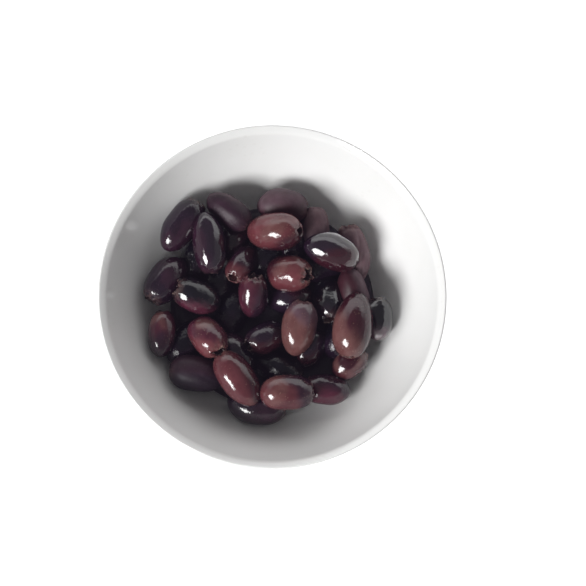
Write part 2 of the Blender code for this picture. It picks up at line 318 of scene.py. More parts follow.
class Effects:
    """The node groups that the finishes share."""

    SPECK_COVER = (0.10, 0.28)
    SPECK_PATCHES = (0.45, 0.7)
    CLOUD_RANGE = (0.32, 0.68)
    PORE_SHARE = 0.3

    def __init__(self) -> None:
        """Builds each group once."""
        self.mottle = self._mottle()
        self.relief = self._relief()

    def _mottle(self) -> bpy.types.NodeTree:
        """Clouds and small specks over a colour.

        Returns:
            The group, which gives the mottled colour and the specks' mask.
        """
        takes = {"Vector": "Vector", "Colour": "Color", "Cloud Colour": "Color", "Cloud Scale": "Float",
                 "Cloud Amount": "Float", "Speck Colour": "Color", "Speck Scale": "Float",
                 "Speck Amount": "Float"}
        group, bench, given, result = new_group("mottle", takes, {"Colour": "Color", "Specks": "Float"})
        cloud = bench.noise(given["Vector"], given["Cloud Scale"], 3.0)
        cover = bench.sum("MULTIPLY", bench.ramp(cloud, *self.CLOUD_RANGE), given["Cloud Amount"])
        clouded = bench.add("Mix", data_type="RGBA", blend_type="MULTIPLY")
        bench.join(cover, clouded.inputs[0])
        bench.join(given["Colour"], clouded.inputs[6])
        bench.join(given["Cloud Colour"], clouded.inputs[7])
        cells = bench.add("TexVoronoi")
        bench.join(given["Vector"], cells.inputs["Vector"])
        bench.join(given["Speck Scale"], cells.inputs["Scale"])
        dots = bench.ramp(cells.outputs["Distance"], *self.SPECK_COVER, 1.0, 0.0)
        patches = bench.ramp(bench.noise(given["Vector"], given["Cloud Scale"], 1.0), *self.SPECK_PATCHES)
        specks = bench.sum("MULTIPLY", bench.sum("MULTIPLY", dots, patches), given["Speck Amount"])
        specked = bench.add("Mix", data_type="RGBA")
        bench.join(specks, specked.inputs[0])
        bench.join(clouded.outputs[2], specked.inputs[6])
        bench.join(given["Speck Colour"], specked.inputs[7])
        bench.join(specked.outputs[2], result["Colour"])
        bench.join(specks, result["Specks"])
        return group

    def _relief(self) -> bpy.types.NodeTree:
        """Soft ripples with finer pores on them.

        Returns:
            The group, which gives a height from about 0 to 1.
        """
        takes = {"Vector": "Vector", "Ripple Scale": "Float", "Pore Scale": "Float"}
        group, bench, given, result = new_group("relief", takes, {"Height": "Float"})
        ripples = bench.noise(given["Vector"], given["Ripple Scale"], 1.0)
        pores = bench.noise(given["Vector"], given["Pore Scale"], 2.0)
        height = bench.sum("ADD", ripples, bench.sum("MULTIPLY", pores, self.PORE_SHARE))
        bench.join(height, result["Height"])
        return group


@dataclass(frozen=True)
class Finish:
    """A surface: how rough it is, and the clouds, specks and relief on it.

    Scales are in waves to the metre, and relief_height is in metres.
    """

    name: str
    roughness: float
    ior: float = 1.6
    coat: float = 0.0
    coat_roughness: float = 0.3
    cloud: tuple[float, float, float] = (0.6, 0.5, 0.5)
    cloud_scale: float = 220.0
    cloud_amount: float = 0.6
    speck: tuple[float, float, float] = (0.35, 0.22, 0.16)
    speck_scale: float = 900.0
    speck_amount: float = 0.3
    ripple_scale: float = 520.0
    pore_scale: float = 1900.0
    relief_height: float = 0.12 * MM

    def start(self, effects: Effects) -> tuple[bpy.types.Material, Bench, Any, Any, Any]:
        """Makes the material with its relief and its mottled colour in place.

        Args:
            effects: The shared node groups.

        Returns:
            The material, a bench on it, its shader, the mottle node and the place socket.
        """
        made = bpy.data.materials.new(self.name)
        made.use_nodes = True
        bench = Bench(made.node_tree)
        shader = made.node_tree.nodes["Principled BSDF"]
        shader.inputs["Roughness"].default_value = self.roughness
        shader.inputs["IOR"].default_value = self.ior
        shader.inputs["Coat Weight"].default_value = self.coat
        shader.inputs["Coat Roughness"].default_value = self.coat_roughness
        place = bench.add("TexCoord").outputs["Object"]
        relief = bench.add("Group", node_tree=effects.relief)
        bench.join(place, relief.inputs["Vector"])
        relief.inputs["Ripple Scale"].default_value = self.ripple_scale
        relief.inputs["Pore Scale"].default_value = self.pore_scale
        bump = bench.add("Bump")
        bump.inputs["Distance"].default_value = self.relief_height
        bench.join(relief.outputs["Height"], bump.inputs["Height"])
        bench.join(bump.outputs["Normal"], shader.inputs["Normal"])
        mottle = bench.add("Group", node_tree=effects.mottle)
        bench.join(place, mottle.inputs["Vector"])
        mottle.inputs["Cloud Colour"].default_value = (*self.cloud, 1.0)
        mottle.inputs["Cloud Scale"].default_value = self.cloud_scale
        mottle.inputs["Cloud Amount"].default_value = self.cloud_amount
        mottle.inputs["Speck Colour"].default_value = (*self.speck, 1.0)
        mottle.inputs["Speck Scale"].default_value = self.speck_scale
        mottle.inputs["Speck Amount"].default_value = self.speck_amount
        bench.join(mottle.outputs["Colour"], shader.inputs["Base Color"])
        return made, bench, shader, mottle, place


@dataclass(frozen=True)
class SkinFinish(Finish):
    """Wet olive skin, whose colour and torn places are worked out for each point of the mesh."""

    torn_roughness: float = 0.45

    def material(self, effects: Effects) -> bpy.types.Material:
        """Makes the skin's material.

        Args:
            effects: The shared node groups.

        Returns:
            The material.
        """
        made, bench, shader, mottle, _ = self.start(effects)
        skin = bench.add("Attribute", attribute_name="skin")
        bench.join(skin.outputs["Color"], mottle.inputs["Colour"])
        torn = bench.add("Attribute", attribute_name="torn")
        roughness = bench.ramp(torn.outputs["Fac"], 0.0, 1.0, self.roughness, self.torn_roughness)
        bench.join(roughness, shader.inputs["Roughness"])
        return made


@dataclass(frozen=True)
class GlazeFinish(Finish):
    """White glaze over pale clay, bare on the ring that the bowl stands on."""

    glaze: tuple[float, float, float] = (0.86, 0.86, 0.855)
    clay: tuple[float, float, float] = (0.56, 0.50, 0.43)
    clay_roughness: float = 0.75
    bare_height: float = 0.9 * MM

    def material(self, effects: Effects) -> bpy.types.Material:
        """Makes the glaze's material.

        Args:
            effects: The shared node groups.

        Returns:
            The material.
        """
        made, bench, shader, mottle, place = self.start(effects)
        parts = bench.add("SeparateXYZ")
        bench.join(place, parts.inputs[0])
        bare = bench.ramp(parts.outputs["Z"], 0.5 * self.bare_height, self.bare_height, 1.0, 0.0)
        colour = bench.add("Mix", data_type="RGBA")
        bench.join(bare, colour.inputs[0])
        colour.inputs[6].default_value = (*self.glaze, 1.0)
        colour.inputs[7].default_value = (*self.clay, 1.0)
        bench.join(colour.outputs[2], mottle.inputs["Colour"])
        roughness = bench.ramp(bare, 0.0, 1.0, self.roughness, self.clay_roughness)
        bench.join(roughness, shader.inputs["Roughness"])
        return made


@dataclass(frozen=True)
class BrineFinish(Finish):
    """Dark brine and pulp between the olives."""

    colour: tuple[float, float, float] = (0.030, 0.024, 0.036)

    def material(self, effects: Effects) -> bpy.types.Material:
        """Makes the brine's material.

        Args:
            effects: The shared node groups.

        Returns:
            The material.
        """
        made, _, _, mottle, _ = self.start(effects)
        mottle.inputs["Colour"].default_value = (*self.colour, 1.0)
        return made


RUSSET_SKIN = SkinFinish("russet_skin", 0.06, coat=0.12, cloud=(0.72, 0.55, 0.6), speck_amount=0.35)
PLUM_SKIN = SkinFinish("plum_skin", 0.06, coat=0.1, cloud=(0.6, 0.5, 0.6), speck_amount=0.15,
                       speck=(0.16, 0.09, 0.10))
BLACK_SKIN = SkinFinish("black_skin", 0.05, ior=1.75, coat=0.3, coat_roughness=0.08,
                        cloud=(0.7, 0.6, 0.7), speck_amount=0.1, speck=(0.10, 0.07, 0.08))
DUSKY_SKIN = SkinFinish("dusky_skin", 0.5, ior=1.4, cloud=(0.7, 0.6, 0.62),
                        speck_amount=0.2, speck=(0.2, 0.13, 0.12))
SUNKEN_SKIN = SkinFinish("sunken_skin", 0.12, ior=1.45, cloud=(0.7, 0.6, 0.7), speck_amount=0.1,
                         speck=(0.10, 0.07, 0.08), relief_height=0.35 * MM)
SKINS = {
    Kind.RUSSET: RUSSET_SKIN,
    Kind.PLUM: PLUM_SKIN,
    Kind.BLACK: BLACK_SKIN,
    Kind.DUSKY: DUSKY_SKIN,
    Kind.SUNKEN: SUNKEN_SKIN,
}
WHITE_GLAZE = GlazeFinish("white_glaze", 0.09, cloud=(0.97, 0.97, 0.96), cloud_scale=45.0,
                          speck=(0.62, 0.60, 0.56), speck_scale=260.0, speck_amount=0.12,
                          ripple_scale=60.0, pore_scale=700.0, relief_height=0.03 * MM)
DARK_BRINE = BrineFinish("dark_brine", 0.35, ior=1.35, speck_amount=0.2, speck=(0.05, 0.03, 0.03))


def arc(centre: tuple[float, float], radius: float, start: float, end: float,
        count: int) -> list[tuple[float, float]]:
    """Points on an arc in a turned piece's section.

    Args:
        centre: The arc's centre, as distance from the axis and height.
        radius: The arc's radius.
        start: The first angle, counted from straight down.
        end: The last angle.
        count: How many points it has.

    Returns:
        The points, as distance from the axis and height.
    """
    return [(centre[0] + radius * math.sin(t), centre[1] - radius * math.cos(t))
            for t in np.linspace(start, end, count)]


def spun(shape: bmesh.types.BMesh, section: list[tuple[float, float]], steps: int) -> None:
    """Spins a section that starts and ends on the axis round Z, into an empty bmesh.

    Args:
        shape: The bmesh.
        section: Points, as distance from the axis and height.
        steps: How many steps the full turn has.
    """
    corners = [shape.verts.new((r, 0.0, z)) for r, z in section]
    edges = [shape.edges.new(pair) for pair in zip(corners, corners[1:])]
    bmesh.ops.spin(shape, geom=corners + edges, cent=(0, 0, 0), axis=(0, 0, 1), angle=2 * math.pi,
                   steps=steps, use_merge=True, use_duplicate=False)
    bmesh.ops.remove_doubles(shape, verts=shape.verts, dist=MERGE_GAP)
    bmesh.ops.recalc_face_normals(shape, faces=shape.faces)


def to_object(name: str, shape: bmesh.types.BMesh, material: bpy.types.Material) -> bpy.types.Object:
    """Makes a smooth object at the origin from a bmesh, and frees the bmesh.

    Args:
        name: The object's name.
        shape: Its shape, in place.
        material: Its material.

    Returns:
        The object.
    """
    mesh = bpy.data.meshes.new(name)
    shape.to_mesh(mesh)
    shape.free()
    mesh.shade_smooth()
    mesh.materials.append(material)
    made = bpy.data.objects.new(name, mesh)
    bpy.context.scene.collection.objects.link(made)
    LOG.info("%s: %d faces", name, len(mesh.polygons))
    return made


@dataclass
class Bowl:
    """The dish: a ball's hollow with a lip that slopes inwards, standing on a foot ring."""

    rim_radius: float = 77.5 * MM
    lip_thickness: float = 3.2 * MM
    lip_slope: float = math.radians(40)
    lip_turn: float = 2.4 * MM
    lip_ease: float = 1.2 * MM
    edge_round: float = 0.6 * MM
    base_thickness: float = 4.2 * MM
    floor_height: float = 7.2 * MM
    hollow_radius: float = 78 * MM
    foot_radius: float = 29 * MM
    foot_width: float = 4 * MM
    foot_fillet: float = 1.2 * MM
    underside_steps: tuple[float, ...] = (0.66, 0.33, 0.0)
    steps: int = 216
    inside_points: int = 44
    lip_points: int = 7
    outside_points: int = 36
    fillet_points: int = 5

    @property
    def lip_half(self) -> float:
        """Half of the lip's thickness."""
        return self.lip_thickness / 2

    @property
    def centre(self) -> tuple[float, float]:
        """The hollow's centre, as distance from the axis and height."""
        return (0.0, self.floor_height + self.hollow_radius)

    @property
    def lip_angle(self) -> float:
        """Where the lip is, as an angle at the hollow's centre from straight down."""
        return math.asin((self.rim_radius - self.lip_half) / (self.hollow_radius + self.lip_half))

    @property
    def height(self) -> float:
        """The bowl's whole height."""
        middle = self.centre[1] - (self.hollow_radius + self.lip_half) * math.cos(self.lip_angle)
        return middle + self.lip_half

    def wall_gap(self, points: np.ndarray) -> tuple[np.ndarray, np.ndarray]:
        """Measures how far points are from the inside of the bowl.

        Args:
            points: The points, one to a row.

        Returns:
            The gaps, and the ways towards the bowl.
        """
        from_centre = points - np.array([0.0, 0.0, self.centre[1]])
        distance = np.linalg.norm(from_centre, axis=-1)
        return self.hollow_radius - distance, from_centre / distance[..., None]

    def section(self) -> list[tuple[float, float]]:
        """Draws half of the bowl's section.

        Returns:
            Points up its inside, over the lip, down the outside and across the underside.
        """
        turn_angle = self.lip_angle - self.lip_turn / self.hollow_radius
        inside = arc(self.centre, self.hollow_radius, 0, turn_angle, self.inside_points)
        foot_reach = self.foot_radius + self.foot_fillet
        foot_angle = math.asin(foot_reach / (self.hollow_radius + self.base_thickness))
        outside = []
        for share in np.linspace(0, 1, self.outside_points):
            angle = self.lip_angle + share * (foot_angle - self.lip_angle)
            thickness = self.lip_thickness + share * (self.base_thickness - self.lip_thickness)
            outside += arc(self.centre, self.hollow_radius + thickness, angle, angle, 1)
        return inside + self.lip(inside[-1], turn_angle) + outside + self.foot(outside[-1][1])

    def lip(self, start: tuple[float, float], wall: float) -> list[tuple[float, float]]:
        """Draws the lip: a slope that rises outwards to a small round edge.

        Args:
            start: The last point of the inside.
            wall: How steep the inside is at that point, as an angle from level.

        Returns:
            Points over the slope and the edge.
        """
        middle = arc(self.centre, self.hollow_radius + self.lip_half, self.lip_angle, self.lip_angle, 1)[0]
        reach = self.lip_half - self.edge_round
        edge = arc((middle[0] + reach, middle[1] + reach), self.edge_round, math.pi + self.lip_slope,
                   math.pi / 2, self.lip_points)
        rise = math.tan(self.lip_slope)
        gap = edge[0][1] - start[1] - rise * (edge[0][0] - start[0])
        reach_up = gap / (math.sin(wall) - rise * math.cos(wall))
        corner = np.array(start) + reach_up * np.array([math.cos(wall), math.sin(wall)])
        end = corner + self.lip_ease * np.array([1.0, rise])
        turn = [tuple((1 - t) ** 2 * np.array(start) + 2 * t * (1 - t) * corner + t**2 * end)
                for t in np.linspace(0, 1, self.lip_points)[1:]]
        return turn + edge

    def foot(self, shoulder: float) -> list[tuple[float, float]]:
        """Draws the foot ring and the underside within it.

        Args:
            shoulder: The height at which the outside meets the foot.

        Returns:
            Points down the ring, across it, up inside it and in to the axis.
        """
        round_edge = 0.5 * self.foot_fillet
        inner = self.foot_radius - self.foot_width
        underside = self.floor_height - self.base_thickness
        quarter = math.pi / 2
        count = self.fillet_points
        outer_edge = arc((self.foot_radius - round_edge, round_edge), round_edge, quarter, 0, count)
        inner_edge = arc((inner + round_edge, round_edge), round_edge, 0, -quarter, count)
        cove = arc((inner - self.foot_fillet, underside - self.foot_fillet), self.foot_fillet,
                   quarter, math.pi, count)
        start = (self.foot_radius, shoulder - self.foot_fillet)
        across = [(share * (inner - self.foot_fillet), underside) for share in self.underside_steps]
        return [start] + outer_edge + inner_edge + cove + across

    def build(self, effects: Effects) -> bpy.types.Object:
        """Spins the bowl and puts it in the place of its solid.

        Args:
            effects: The shared node groups.

        Returns:
            The bowl.
        """
        shape = bmesh.new()
        spun(shape, self.section(), self.steps)
        made = to_object("glazed_bowl", shape, WHITE_GLAZE.material(effects))
        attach(made, BODY)
        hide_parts("bowl")
        return made


@dataclass
class Seat:
    """Lets the olives sink until they rest on the core, on the bowl and on each other.

    Each olive is a row of five beads. Every round they fall a little, drift towards where they
    are seen, and are pushed out of each other and of the bowl, the lower one of two the most.
    """

    bowl: Bowl
    clearance: float = 0.4 * MM
    core_radius: float = 48 * MM
    core_height: float = 26 * MM
    core_rise: float = 4.5 * MM
    eye_distance: float = 600 * MM
    eye_elevation: float = math.radians(80.4)
    heap_level: float = 41 * MM
    rounds: int = 420
    fall: float = 0.12 * MM
    place_hold: float = 0.06
    turn_hold: float = 0.10
    bead_shares: tuple[float, ...] = (-1.0, -0.55, 0.0, 0.55, 1.0)
    press: float = 0.93
    yielding: float = 30.0
    sideways: float = 0.6
    sink: float = 3 * MM
    layer_height: float = 7.2 * MM

    @property
    def eye_height(self) -> float:
        """How far the eye is above the rim's plane."""
        return self.eye_distance * math.sin(self.eye_elevation)

    @property
    def growth(self) -> float:
        """True size of an olive at the heap's level, as a share of its size against the rim's plane."""
        return 1 + (self.bowl.height - self.heap_level) / self.eye_height

    def sight(self, east: np.ndarray, north: np.ndarray, height: np.ndarray) -> np.ndarray:
        """Finds what lies at a height where a place in the rim's plane is seen.

        Args:
            east: The seen places along X.
            north: The seen places along Y.
            height: The heights.

        Returns:
            The places, as X and Y.
        """
        eye_y = -self.eye_distance * math.cos(self.eye_elevation)
        share = (self.bowl.height - height) / self.eye_height
        return np.stack([east * (1 + share), north + (north - eye_y) * share], axis=-1)

    def core_top(self, reach: np.ndarray) -> np.ndarray:
        """Height of the core's upper side, a little hollow, at a distance from the axis."""
        return self.core_height + self.core_rise * (reach / self.core_radius) ** 2

    @staticmethod
    def aim(olives: list[Olive]) -> np.ndarray:
        """Unit vectors towards the pit holes."""
        heading = np.radians([o.heading for o in olives])
        lift = np.radians([o.lift for o in olives])
        return np.stack([np.cos(lift) * np.cos(heading), np.cos(lift) * np.sin(heading), np.sin(lift)],
                        axis=1)

    def settle(self, olives: list[Olive]) -> tuple[np.ndarray, np.ndarray]:
        """Settles the heap.

        Args:
            olives: All the olives.

        Returns:
            Their middles and the unit vectors towards their pit holes.
        """
        half = np.array([o.length for o in olives]) * self.growth * MM / 2
        thick = np.array([o.width for o in olives]) * self.growth * MM / 2
        east = np.array([o.east for o in olives]) * MM
        north = np.array([o.north for o in olives]) * MM
        layer = np.array([o.layer for o in olives])
        offsets = (half - thick**2 / half)[:, None] * np.array(self.bead_shares)
        radii = thick[:, None] * np.sqrt(1 - offsets**2 / (half**2 - thick**2)[:, None])
        wanted = self.aim(olives)
        axes = wanted.copy()
        height = self.core_top(np.hypot(east, north)) + self.layer_height * layer + 2 * thick
        middles = np.concatenate([self.sight(east, north, height), height[:, None]], axis=1)
        beads_each = len(self.bead_shares)
        owner = np.repeat(np.arange(len(olives)), beads_each)
        apart = owner[:, None] != owner[None, :]
        lifted = self.layer_height * layer[owner] - self.sink
        give = self.yielding ** -layer[owner]
        share = give[:, None] / (give[:, None] + give[None, :])
        reach = radii.reshape(-1)
        touch = self.press * (reach[:, None] + reach[None, :])
        spread = np.sum(offsets**2, axis=1)
        for _ in range(self.rounds):
            middles[:, 2] -= self.fall
            seen = self.sight(east, north, middles[:, 2])
            middles[:, :2] += self.place_hold * (seen - middles[:, :2])
            axes += self.turn_hold * (wanted - axes)
            axes /= np.linalg.norm(axes, axis=1)[:, None]
            beads = (middles[:, None, :] + axes[:, None, :] * offsets[:, :, None]).reshape(-1, 3)
            between = beads[:, None, :] - beads[None, :, :]
            distance = np.maximum(np.linalg.norm(between, axis=2), 1e-9)
            bite = np.where(apart, np.maximum(touch - distance, 0), 0)
            push = np.sum(between / distance[..., None] * (share * bite)[..., None], axis=1)
            push /= np.maximum(np.sum(bite > 0, axis=1), 1)[:, None]
            push[:, :2] *= self.sideways
            gap, way = self.bowl.wall_gap(beads)
            push -= way * np.maximum(reach + self.clearance - gap, 0)[:, None]
            rest = self.core_top(np.hypot(beads[:, 0], beads[:, 1])) + lifted + reach
            push[:, 2] += np.maximum(rest - beads[:, 2], 0)
            push = push.reshape(len(olives), beads_each, 3)
            strongest = np.max(np.abs(push), axis=1) * np.sign(np.sum(push, axis=1))
            middles += 0.5 * (strongest + np.mean(push, axis=1))
            axes += np.sum(push * offsets[:, :, None], axis=1) / spread[:, None]
            axes /= np.linalg.norm(axes, axis=1)[:, None]
        return middles, axes


def smoothstep(low: float, high: float, value: np.ndarray) -> np.ndarray:
    """Goes smoothly from 0 at low to 1 at high."""
    share = np.clip((value - low) / (high - low), 0, 1)
    return share * share * (3 - 2 * share)


@dataclass(frozen=True)
class Cloud:
    """Soft noise over an olive: its waves to the unit, and how far each seed shifts it."""

    waves: float
    shift: float

    def over(self, points: np.ndarray, seed: int) -> np.ndarray:
        """Reads the noise.

        Args:
            points: The points, one to a row.
            seed: The olive's seed.

        Returns:
            A value from about -1 to 1 for each point.
        """
        return np.array([noise.noise(Vector(p)) for p in points * self.waves + seed * self.shift])


LUMPS = Cloud(1.3, 3.7)
CRINKLES = Cloud(7.0, 6.1)
RAGS = Cloud(1.6, 1.9)
FINE_RAGS = Cloud(4.3, 2.9)
PATCHES = Cloud(1.6, 2.3)
GRAIN = Cloud(5.0, 5.1)
BROWNS = Cloud(1.2, 4.1)


@dataclass
class OliveMaker:
    """Shapes one pitted olive.

    shaft holds the pit hole's width and depth at a few places, as shares of the whole. A pair
    named count, size, place, length, width or share is the range of a random draw.
    """

    growth: float
    steps: int = 72
    skin_points: int = 46
    hole_radius: float = 2.2 * MM
    hole_depth: float = 3.8 * MM
    hole_least: float = 0.8
    hole_torn: float = 0.5
    shaft: tuple[tuple[float, float], ...] = (
        (0.93, 0.2), (0.86, 0.45), (0.78, 0.7), (0.6, 0.88), (0.3, 0.97))
    lip_round: float = 0.7 * MM
    lip_swell: float = 0.3
    lip_points: int = 5
    hole_end_power: float = 2.6
    hole_end_root: float = 0.50
    nose_root: float = 0.54
    pole_share: float = 0.25
    smoothing: float = 0.25
    lump: float = 0.45 * MM
    dent_count: tuple[int, int] = (3, 5)
    dent_place: float = 0.6
    dent_size: tuple[float, float] = (0.22, 0.5)
    dent_depth: float = 0.45 * MM
    dent_share: tuple[float, float] = (0.3, 1.0)
    crease_count: int = 7
    crease_sway: float = 0.35
    crease_turns: int = 3
    crease_place: tuple[float, float] = (-0.5, 0.6)
    crease_length: tuple[float, float] = (0.2, 0.5)
    crease_depth: float = 0.32 * MM
    crease_share: tuple[float, float] = (0.4, 1.0)
    crease_least: float = 0.4
    crease_width: float = 0.75 * MM
    fold_counts: tuple[int, ...] = (5, 6, 7)
    fold_sway: float = 2.5
    pucker: float = 0.18 * MM
    split_count: tuple[int, int] = (3, 5)
    split_width: tuple[float, float] = (0.14, 0.34)
    split_share: tuple[float, float] = (0.4, 1.0)
    tear_depth: float = 1.6 * MM
    rag_height: float = 0.8 * MM
    rag_unit: float = 2 * MM
    fine_rag: float = 0.6
    crinkle: float = 0.38 * MM
    tear_spread: float = 0.55
    lip_reach: float = 2.2 * MM
    lip_width: float = 0.55 * MM
    lip_crest: float = 0.4

    def width_share(self, olive: Olive, along: float) -> float:
        """Share of an olive's half width at a place from -1, its nose, to 1, its pit hole."""
        if along > 0:
            return (1 - along**self.hole_end_power) ** self.hole_end_root
        return (1 - (-along) ** olive.nose) ** self.nose_root

    def hole_size(self, look: Look) -> float:
        """Radius of the pit hole, which is wider where it is torn."""
        return self.hole_radius * (self.hole_least + self.hole_torn * look.tear)

    def section(self, olive: Olive, look: Look) -> list[tuple[float, float]]:
        """Draws half of an olive's section, with its pit hole.

        Args:
            olive: The olive.
            look: Its skin.

        Returns:
            Points from the nose over the skin, round the hole's lip and down to its floor.
        """
        half = olive.length * self.growth * MM / 2
        thick = olive.width * self.growth * MM / 2
        hole = self.hole_size(look)
        edge = (hole + self.lip_round) / thick
        lip_along = (1 - edge ** (1 / self.hole_end_root)) ** (1 / self.hole_end_power)
        turns = np.linspace(math.pi, math.acos(lip_along), self.skin_points)
        skin = [(thick * self.width_share(olive, max(-1.0, math.cos(t))), half * math.cos(t))
                for t in turns]
        top = skin[-1][1]
        lip = [(hole + self.lip_round * (1 - math.sin(t)),
                top + self.lip_round * (math.cos(t) - 1) + self.lip_swell * self.lip_round * math.sin(2 * t))
               for t in np.linspace(0, math.pi / 2, self.lip_points)[1:]]
        shaft = [(hole * narrow, top - self.lip_round - deep * (self.hole_depth - self.lip_round))
                 for narrow, deep in self.shaft]
        skin[0] = (0.0, -half)
        return skin + lip + shaft + [(0.0, top - self.hole_depth)]

    def shape(self, olive: Olive, look: Look, seed: int) -> tuple[bmesh.types.BMesh, dict[str, np.ndarray]]:
        """Shapes an olive about the origin, with its pit hole towards +Z.

        Args:
            olive: The olive.
            look: Its skin.
            seed: The seed of its random draws.

        Returns:
            The shape, and the measures of its points that the colours need.
        """
        draw = random.Random(seed)
        made = bmesh.new()
        spun(made, self.section(olive, look), self.steps)
        points = np.array([v.co for v in made.verts])
        half = olive.length * self.growth * MM / 2
        thick = olive.width * self.growth * MM / 2
        around = np.arctan2(points[:, 1], points[:, 0])
        reach = np.hypot(points[:, 0], points[:, 1])
        along = np.clip(points[:, 2] / half, -1, 1)
        top = max(points[:, 2])
        hole = self.hole_size(look)
        inside = self.inside_hole(points, reach, top, hole)
        out = np.stack([np.cos(around), np.sin(around), np.zeros(len(points))], axis=1)
        unit = points / np.array([thick, thick, half])
        press = self.lump * LUMPS.over(unit, seed)
        press -= self.dents(unit, draw)
        press -= self.creases(around, reach, along, look, draw) * (1 - inside)
        fade = np.exp(-((top - points[:, 2]) / self.lip_reach) ** 2)
        folds = np.cos(draw.choice(self.fold_counts) * around + self.fold_sway * np.sin(2 * around + seed))
        press -= self.pucker * fade * (1 - inside) * folds
        press += self.crinkle * look.tear * fade * CRINKLES.over(unit, seed)
        ring = np.minimum(reach / (self.pole_share * thick), 1)
        points += out * (press * ring)[:, None]
        points = self.torn(points, around, reach, top, hole, look, draw, seed)
        points[:, 0] += 2 * half * olive.bend * (1 - along**2)
        for vertex, point in zip(made.verts, points):
            vertex.co = point
        bmesh.ops.smooth_vert(made, verts=made.verts, factor=self.smoothing, use_axis_x=True,
                              use_axis_y=True, use_axis_z=True)
        # A band just inside the lip's crest, where the pale flesh with painted glints goes.
        past_crest = reach - hole - self.lip_crest * self.lip_round
        lip = np.exp(-(past_crest / self.lip_width) ** 2) * fade
        return made, {"unit": unit, "inside": inside, "edge": fade, "lip": lip}

    def inside_hole(self, points: np.ndarray, reach: np.ndarray, top: float, hole: float) -> np.ndarray:
        """Marks the points of the pit hole's wall and floor with 1, and the skin's with 0."""
        narrow = reach < hole + 0.2 * self.lip_round
        return (narrow & (points[:, 2] > top - 1.1 * self.hole_depth)).astype(float)

    def dents(self, unit: np.ndarray, draw: random.Random) -> np.ndarray:
        """Works out soft dents.

        Args:
            unit: The points, with the olive's surface at about 1 from the origin.
            draw: The olive's random draws.

        Returns:
            How deep each point is pressed in.
        """
        depth = np.zeros(len(unit))
        for _ in range(draw.randint(*self.dent_count)):
            place = draw.gauss(0, 1), draw.gauss(0, 1), draw.uniform(-self.dent_place, self.dent_place)
            middle = np.array(place)
            middle /= np.linalg.norm(middle)
            size = draw.uniform(*self.dent_size)
            deep = draw.uniform(*self.dent_share) * self.dent_depth
            depth += deep * np.exp(-np.sum((unit - middle) ** 2, axis=1) / size**2)
        return depth

    def creases(self, around: np.ndarray, reach: np.ndarray, along: np.ndarray, look: Look,
                draw: random.Random) -> np.ndarray:
        """Works out creases that run from end to end.

        Args:
            around: The points' angles about the axis.
            reach: Their distances from it.
            along: Their places from -1, the nose, to 1, the hole.
            look: The olive's skin.
            draw: The olive's random draws.

        Returns:
            How deep each point is pressed in.
        """
        depth = np.zeros(len(around))
        for _ in range(1 + round(self.crease_count * look.wrinkle)):
            start = draw.uniform(-math.pi, math.pi)
            sway = draw.uniform(-self.crease_sway, self.crease_sway)
            middle = draw.uniform(*self.crease_place)
            length = draw.uniform(*self.crease_length)
            deep = draw.uniform(*self.crease_share) * self.crease_depth * (self.crease_least + look.wrinkle)
            path = start + sway * np.sin(self.crease_turns * (along - middle))
            apart = np.angle(np.exp(1j * (around - path))) * reach
            window = np.exp(-((along - middle) / length) ** 4)
            depth += deep * window * np.exp(-(apart / self.crease_width) ** 2)
        return depth

    def torn(self, points: np.ndarray, around: np.ndarray, reach: np.ndarray, top: float, hole: float,
             look: Look, draw: random.Random, seed: int) -> np.ndarray:
        """Splits the pit hole's lip into ragged flaps.

        Args:
            points: The points.
            around: Their angles about the axis.
            reach: Their distances from it.
            top: The height of the lip.
            hole: The hole's radius.
            look: The olive's skin.
            draw: The olive's random draws.
            seed: A shift for the noise.

        Returns:
            The moved points.
        """
        splits = np.zeros(len(around))
        for _ in range(draw.randint(*self.split_count)):
            apart = np.angle(np.exp(1j * (around - draw.uniform(-math.pi, math.pi))))
            deep = draw.uniform(*self.split_share)
            splits += deep * np.exp(-(apart / draw.uniform(*self.split_width)) ** 2)
        splits = np.minimum(splits, 1)
        ring = np.stack([np.cos(around), np.sin(around), points[:, 2] / self.rag_unit], axis=1)
        rag = RAGS.over(ring, seed) + self.fine_rag * FINE_RAGS.over(ring, seed)
        near = np.exp(-((reach - hole) / (0.9 * self.lip_reach)) ** 2)
        near *= smoothstep(top - 2.5 * self.lip_round - 0.4 * self.hole_depth, top - self.lip_round,
                           points[:, 2])
        cut = look.tear * near
        moved = points.copy()
        moved[:, 2] -= cut * splits * self.tear_depth
        moved[:, 2] += cut * self.rag_height * rag
        widen = 1 + cut * self.tear_spread * (0.7 * splits - 0.2 + 0.7 * rag)
        moved[:, 0] *= widen
        moved[:, 1] *= widen
        return moved


